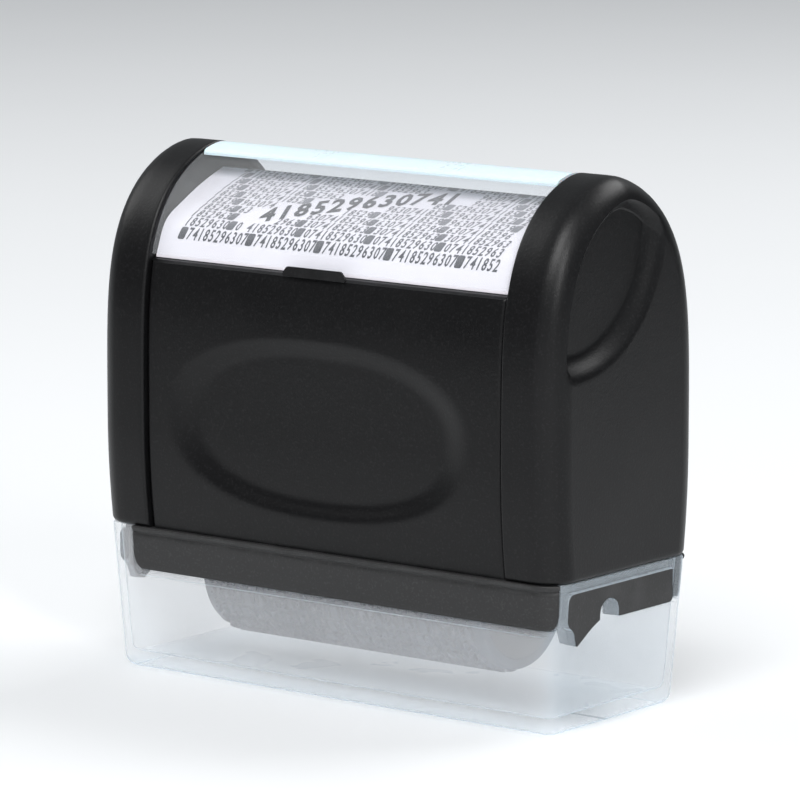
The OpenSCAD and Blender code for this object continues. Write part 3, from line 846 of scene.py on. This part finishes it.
def label_rows():
    """Rows of small digits in groups parted by squares. Places under the large row stay bare."""
    u_large, v_large = large_place(np.linspace(-0.04, 1.04, 40))
    marks = []
    left, right = -LABEL_HALF + 2.6, LABEL_HALF - 2.6
    for row in range(11):
        v = ROW_START + row * ROW_PITCH + (0 if row == 0 else 0.12)
        height = ROW_H * (1.18 if row == 0 else 1)
        u, k = left + 0.4 + 0.12 * row, 0
        offset = 0 if row == 0 else 3 + row
        while u < right:
            place = (k + offset) % 12
            glyph = "#" if place == 0 else str((place * 7 + 3 * row) % 10)
            near = np.hypot(u_large - u, (v_large - v)).min()
            if near > 1.6:
                marks.append((glyph, u, v, LETTER_W if glyph != "#" else 1.15, height, 0.0))
            u += LETTER_GAP * (1.35 if glyph == "#" else 1.0)
            k += 1
    return marks


def label_large():
    """The large row of digits, each turned along the baseline."""
    t = (np.arange(LARGE_N) + 0.5) / LARGE_N
    u, v = large_place(t)
    u2, v2 = large_place(t + 0.01)
    turn = np.arctan2(v2 - v, u2 - u)
    return [(str((k * 7 + 4) % 10), u[k], v[k], 2.5, 2.6, turn[k]) for k in range(LARGE_N)]


finish_piece(set_type("label_small_print", label_rows(), on_label, slant=0.22), "housing", SMALL_INK)
finish_piece(set_type("label_large_print", label_large(), on_label, slant=0.12, cast=BOLD_DIGITS), "housing",
             LARGE_INK)


def window_line(inset, z_front, z_rear, dip=0.0):
    """The window's line (y, z) from its front foot over the top to its rear foot. It dips under the rail."""
    front = flip_y(arch_side(inset, z_front, TOP_Z - inset, n_high=80))
    rear = arch_side(inset, z_rear, TOP_Z - inset, n_high=80)[::-1]
    line = np.concatenate([front, rear[1:]])
    line[:, 1] -= dip * (1 - ease(np.abs(line[:, 0]), RAIL_HALF - 0.02, RAIL_HALF + 0.02))
    return line


def window():
    """A clear shell: outer and inner arch lines joined by round lips, with its ends drawn in a little."""
    outer = window_line(COVER_INSET, COVER_FOOT_Z, 47.4, dip=0.35)
    inner = window_line(COVER_INSET + COVER_T, COVER_FOOT_Z, 47.4)[::-1]
    section = np.concatenate([outer, inner])
    middle = (window_line(COVER_INSET + COVER_T / 2, COVER_FOOT_Z, 47.4))
    middle = np.concatenate([middle, middle[::-1]])
    end = COVER_HALF - 0.01
    turn = np.linspace(0, math.pi / 2, 6)
    x = np.concatenate([-end + 0.12 * (1 - np.sin(turn))[::-1], np.linspace(-end + 0.5, end - 0.5, 30),
                        end - 0.12 * (1 - np.sin(turn))])
    pinch = np.zeros(len(x))
    pinch[:6] = (0.18 * (1 - np.cos(turn)))[::-1]
    pinch[-6:] = 0.18 * (1 - np.cos(turn))
    return swept("label_window", along_x(section[None] * (1 - pinch[:, None, None])
                                         + middle[None] * pinch[:, None, None], x))


def rail():
    """The pale rail fills the window's dip and stands a little proud, with round long edges."""
    y = np.linspace(-RAIL_HALF + 0.02, RAIL_HALF - 0.02, 60)
    z_line = window_line(COVER_INSET, COVER_FOOT_Z, 47.4)
    z = np.interp(y, z_line[:, 0], z_line[:, 1])
    edge = np.clip((RAIL_HALF - 0.02 - np.abs(y)) / 0.5, 0, 1)
    top = np.stack([y, np.minimum(z + RAIL_RISE * np.sqrt(1 - (1 - edge) ** 2) - 0.1, TOP_Z)], axis=1)
    low = np.stack([y, z - 0.33], axis=1)[::-1]
    section = np.concatenate([top, low])
    end = COVER_HALF - 0.01
    return swept("window_rail", along_x(section, [-end, -end + 0.3, 0, end - 0.3, end]))


def knuckles():
    """Two hinge barrels: a turned outline with a bore, spun about the hinge line."""
    outline = rounded([[0.78, 0.3], [0.78, 0], [BARREL_R, 0], [BARREL_R, BARREL_L], [0.78, BARREL_L],
                       [0.78, 0.3]], [0, 0.05, 0.2, 0.2, 0.05, 0], steps=5)[:-1]
    a = np.linspace(0, 2 * math.pi, 48, endpoint=False)
    points, faces = [], []
    for side in (-1, 1):
        x = side * (COVER_HALF - outline[:, 1])
        ring_y = HINGE_Y + outline[:, 0][None] * np.cos(a)[:, None]
        ring_z = HINGE_Z + outline[:, 0][None] * np.sin(a)[:, None]
        grid = np.stack([np.repeat(x[None], len(a), 0), ring_y, ring_z], axis=-1)
        faces.append(grid_quads(len(a), len(outline), True, True) + len(points) * len(a) * len(outline))
        points.append(grid.reshape(-1, 3))
    return build_mesh("window_knuckles", np.concatenate(points), np.concatenate(faces))


finish_piece(window(), "window", CLEAR, stands_for=["label_cover"])
finish_piece(rail(), "window", PALE, stands_for=["cover_rail"])
finish_piece(knuckles(), "window", CLEAR)

# ---------------------------------------------------------------- printing roller


def on_roller(u, v, lift):
    """A point u along the roller and v round it, at the base radius plus a lift. It reads mirrored."""
    angle = v / ROLLER_R
    radius = ROLLER_R - RELIEF + lift
    return np.column_stack([-u, ROLLER_Y + radius * np.sin(angle), ROLLER_Z + radius * np.cos(angle)])


def rubber_sleeve():
    """A turned sleeve with round shoulders, just under the height of its raised print."""
    r_in, r_out, half = ROLLER_R - RUBBER_T, ROLLER_R - RELIEF, ROLLER_HALF
    outline = rounded([[r_in, 0], [r_in, -half], [r_out, -half], [r_out, half], [r_in, half], [r_in, 0]],
                      [0, 0.1, 0.4, 0.4, 0.1, 0], steps=6)[:-1]
    a = np.linspace(0, 2 * math.pi, 120, endpoint=False)[:, None]
    grid = np.stack([np.repeat(outline[None, :, 1], 120, 0), ROLLER_Y + outline[:, 0] * np.cos(a),
                     ROLLER_Z + outline[:, 0] * np.sin(a)], axis=-1)
    return build_mesh("rubber_sleeve", grid, grid_quads(120, len(outline), True, True))


def roller_print():
    """Raised rows of digits all round the rubber, in the label's own pattern."""
    rows = 26
    pitch = 2 * math.pi * ROLLER_R / rows
    marks = []
    for row in range(rows):
        u, k = -ROLLER_HALF + 1.6, 0
        while u < ROLLER_HALF - 1.0:
            place = (k + row) % 12
            glyph = "#" if place == 0 else str((place * 7 + 3 * row) % 10)
            marks.append((glyph, u, row * pitch, 1.1, 1.5, 0.0))
            u += 1.0
            k += 1
    return marks


finish_piece(rubber_sleeve(), "printing_roller", RUBBER, stands_for=["printing_rubber"])
finish_piece(set_type("rubber_print", roller_print(), on_roller, rise=RELIEF), "printing_roller",
             RUBBER, sharp_deg=30)

# ---------------------------------------------------------------- cap


def cap_level(z, inset, points, normals):
    """The cap's outline at a height: drawn in by its draft and by an inset."""
    pull = inset + CAP_DRAFT * (SPLIT_Z - z) / SPLIT_Z
    return points - normals * pull


def cap_cup():
    """One line from the middle of the underside, round the foot, up the wall, over the rim, down inside
    and in to the middle of the floor, carried round the cap's outline."""
    points, normals = ring(CAP_L, CAP_D, CORNER_R, n_side=60, n_corner=18)
    turn = np.linspace(0, math.pi / 2, 8)
    rim = 0.25
    line = [(CAP_EDGE, 0.0, k) for k in (0.0, 0.4, 0.8, 0.95)]
    line += [(CAP_EDGE * (1 - math.sin(a)), CAP_EDGE * (1 - math.cos(a)), 1.0) for a in turn]
    line += [(0.0, z, 1.0) for z in np.linspace(CAP_EDGE, SPLIT_Z - rim, 16)[1:-1]]
    line += [(rim * (1 - math.cos(a)), SPLIT_Z - rim + rim * math.sin(a), 1.0) for a in turn]
    line += [(CAP_WALL - rim * (1 - math.sin(a)), SPLIT_Z - rim + rim * math.cos(a), 1.0) for a in turn]
    inner_r = 1.0
    line += [(CAP_WALL, z, 1.0) for z in np.linspace(SPLIT_Z - rim, CAP_FLOOR + inner_r, 14)[1:-1]]
    line += [(CAP_WALL + inner_r * (1 - math.cos(a)), CAP_FLOOR + inner_r * (1 - math.sin(a)), 1.0)
             for a in turn]
    line += [(CAP_WALL + inner_r, CAP_FLOOR, k) for k in (0.95, 0.8, 0.4, 0.0)]
    rows = []
    for inset, z, k in line:
        level = cap_level(z, inset, points, normals) * k
        rows.append(np.column_stack([level, np.full(len(level), z)]))
    grid = np.stack(rows)
    return build_mesh("cap_cup", grid, grid_quads(*grid.shape[:2], wrap_v=True), merge=0.004)


def window_shape(grow=0.0):
    """Outline (y, z) of the end window: a slot with a pointed foot at the front and a tongue notch."""
    low, top = WINDOW_LOW - grow, WINDOW_TOP + grow
    front, rear = WINDOW_FRONT - grow, WINDOW_REAR + grow
    a = np.linspace(0, math.pi, 14)
    r = NOTCH_R - grow
    tongue = np.stack([NOTCH_Y - 0.1 + r * np.cos(a), NOTCH_TOP - NOTCH_R + r * np.sin(a)], axis=1)
    before = rounded([[front, 13.6], [front, top], [rear, top], [rear, low], [tongue[0][0] + 0.1, low]],
                     [0, 1.0, 0.4, 0.6, 0.3])
    after = rounded([[tongue[-1][0], low + 0.1], [-4.35, 11.5], [-5.6, 10.95], [-8.2, 9.3 - grow],
                     [-8.75, 11.0], [front, 11.75], [front, 13.6]], [0, 0.5, 0.6, 0.08, 0.5, 0.7, 0])
    return np.concatenate([before, tongue, after[:-1]])


def cut_shape(foot, left, right, r=1.2):
    """Outline (x, z) of a band's cut-out, open at the top, with round lower corners."""
    high = SPLIT_Z + 3
    return rounded([[0, high], [left, high], [left, foot], [right, foot], [right, high], [0, high]],
                   [0, 0.01, r, r, 0.01, 0], steps=8)[:-1]


def frosted_cap():
    """The cup, less the cut-outs for the bands, the steps under them and the end windows."""
    cup = cap_cup()
    lip_y, wall_y, far = 11.6, 10.85, HALF_D + 2
    cutters = []
    for k, sign in enumerate((-1, 1)):
        near, lip = sorted([sign * wall_y, sign * far]), sorted([sign * lip_y, sign * far])
        cutters.append(prism(f"cut_{k}", cut_shape(BAND_LOW - 0.12, BAND_LEFT - 0.06, 30.45), *near, "y"))
        cutters.append(prism(f"step_{k}", cut_shape(10.7, BAND_LEFT - 0.06, 30.45), *lip, "y"))
        span = sorted([sign * (HALF_L - 4), sign * (HALF_L + 1)])
        cutters.append(prism(f"window_{k}", window_shape(), *span, "x"))
    return cut(cup, cutters)


finish_piece(frosted_cap(), "cap", FROSTED, sharp_deg=35, stands_for=["cap"])


def end_catch(name, side):
    """The frame's end fills the cap's window almost flush, notched round the cap's tongue."""
    shape = window_shape(-0.07)
    span = sorted([side * (FRAME_END_X - 0.6), side * (HALF_L - 0.46)])
    return prism(name, shape, *span, "x")


finish_piece(end_catch("right_catch", 1), "housing", CHARCOAL)
finish_piece(end_catch("left_catch", -1), "housing", CHARCOAL)

# ---------------------------------------------------------------- stage, lamps and camera


def floor():
    """A wide pale floor that runs on past the view."""
    reach = 4.0
    mesh = bpy.data.meshes.new("floor")
    mesh.from_pydata([(-reach, -reach, 0), (reach, -reach, 0), (reach, reach, 0), (-reach, reach, 0)], [],
                     [(0, 1, 2, 3)])
    piece = bpy.data.objects.new("floor", mesh)
    bpy.context.scene.collection.objects.link(piece)
    material, nodes, shader = new_material("pale_floor")
    place = nodes.add("ShaderNodeTexCoord").outputs["Object"]
    cloud = nodes.add("ShaderNodeTexNoise", None, Vector=place, Scale=6.0, Detail=3.0)
    nodes.put(shader, "Base Color", nodes.mix(cloud.outputs[0], (0.78, 0.79, 0.80, 1), (0.82, 0.83, 0.84, 1)))
    nodes.put(shader, "Roughness", 0.6)
    path = nodes.add("ShaderNodeLightPath")
    nodes.put(shader, "Emission Color", (0.95, 0.97, 1.0, 1))
    nodes.put(shader, "Emission Strength", nodes.math("MULTIPLY", path.outputs["Is Camera Ray"], 0.1))
    mesh.materials.append(material)


def flag(name, azimuth, material):
    """A dark card standing beside the view, which keeps pale reflections off the black housing."""
    a = math.radians(azimuth)
    away, along = np.array([math.sin(a), -math.cos(a), 0]), np.array([math.cos(a), math.sin(a), 0])
    corners = [away * 0.3 + along * sx * 0.16 + np.array([0, 0, z]) for sx, z in
               ((-1, 0.001), (1, 0.001), (1, 0.2), (-1, 0.2))]
    mesh = bpy.data.meshes.new(name)
    mesh.from_pydata([list(corner) for corner in corners], [], [(0, 1, 2, 3)])
    mesh.materials.append(material)
    piece = bpy.data.objects.new(name, mesh)
    piece.visible_camera = False
    piece.visible_shadow = False
    piece.visible_diffuse = False
    piece.visible_transmission = False
    bpy.context.scene.collection.objects.link(piece)


def lamp(name, azimuth, elevation, distance, size, power, target=(0, 0, 0.03)):
    """A soft square lamp at a bearing from the object: 0 is the front, 90 the right."""
    light = bpy.data.lights.new(name, "AREA")
    light.shape = "RECTANGLE"
    light.size, light.size_y = size
    light.energy = power
    a, e = math.radians(azimuth), math.radians(elevation)
    away = np.array([math.sin(a) * math.cos(e), -math.cos(a) * math.cos(e), math.sin(e)])
    holder = bpy.data.objects.new(name, light)
    holder.location = np.array(target) + away * distance
    from mathutils import Vector
    holder.rotation_euler = Vector(-away).to_track_quat("-Z", "Y").to_euler()
    bpy.context.scene.collection.objects.link(holder)


def camera():
    """A long lens, from the front right and a little above."""
    azimuth, elevation, distance, lens = math.radians(37.98), math.radians(9.29), 0.5576, 233.6
    target = np.array([0.0009, 0.0, 0.03121])
    away = np.array([math.sin(azimuth) * math.cos(elevation), -math.cos(azimuth) * math.cos(elevation),
                     math.sin(elevation)])
    data = bpy.data.cameras.new("camera")
    data.lens = lens
    data.sensor_width = 36
    data.clip_start = 0.01
    holder = bpy.data.objects.new("camera", data)
    holder.location = target + away * distance
    from mathutils import Vector
    holder.rotation_euler = Vector(-away).to_track_quat("-Z", "Y").to_euler()
    bpy.context.scene.collection.objects.link(holder)
    bpy.context.scene.camera = holder


def world():
    """An even pale surround."""
    surround = bpy.data.worlds.new("surround")
    surround.use_nodes = True
    ground = surround.node_tree.nodes["Background"]
    ground.inputs["Color"].default_value = (0.86, 0.9, 0.93, 1)
    ground.inputs["Strength"].default_value = 0.3
    bpy.context.scene.world = surround


floor()
flag("right_flag", 146, BLACK)
flag("left_flag", -40, BLACK)
world()
lamp("key_lamp", 24, 50, 0.9, (0.4, 0.5), 5.2)
lamp("strip_lamp", 56, 30, 0.7, (0.07, 0.3), 1.3)
lamp("left_lamp", -75, 35, 0.9, (0.5, 0.5), 2)
lamp("back_lamp", 160, 50, 0.9, (0.6, 0.4), 4)
camera()
bpy.context.scene.view_settings.view_transform = "Standard"
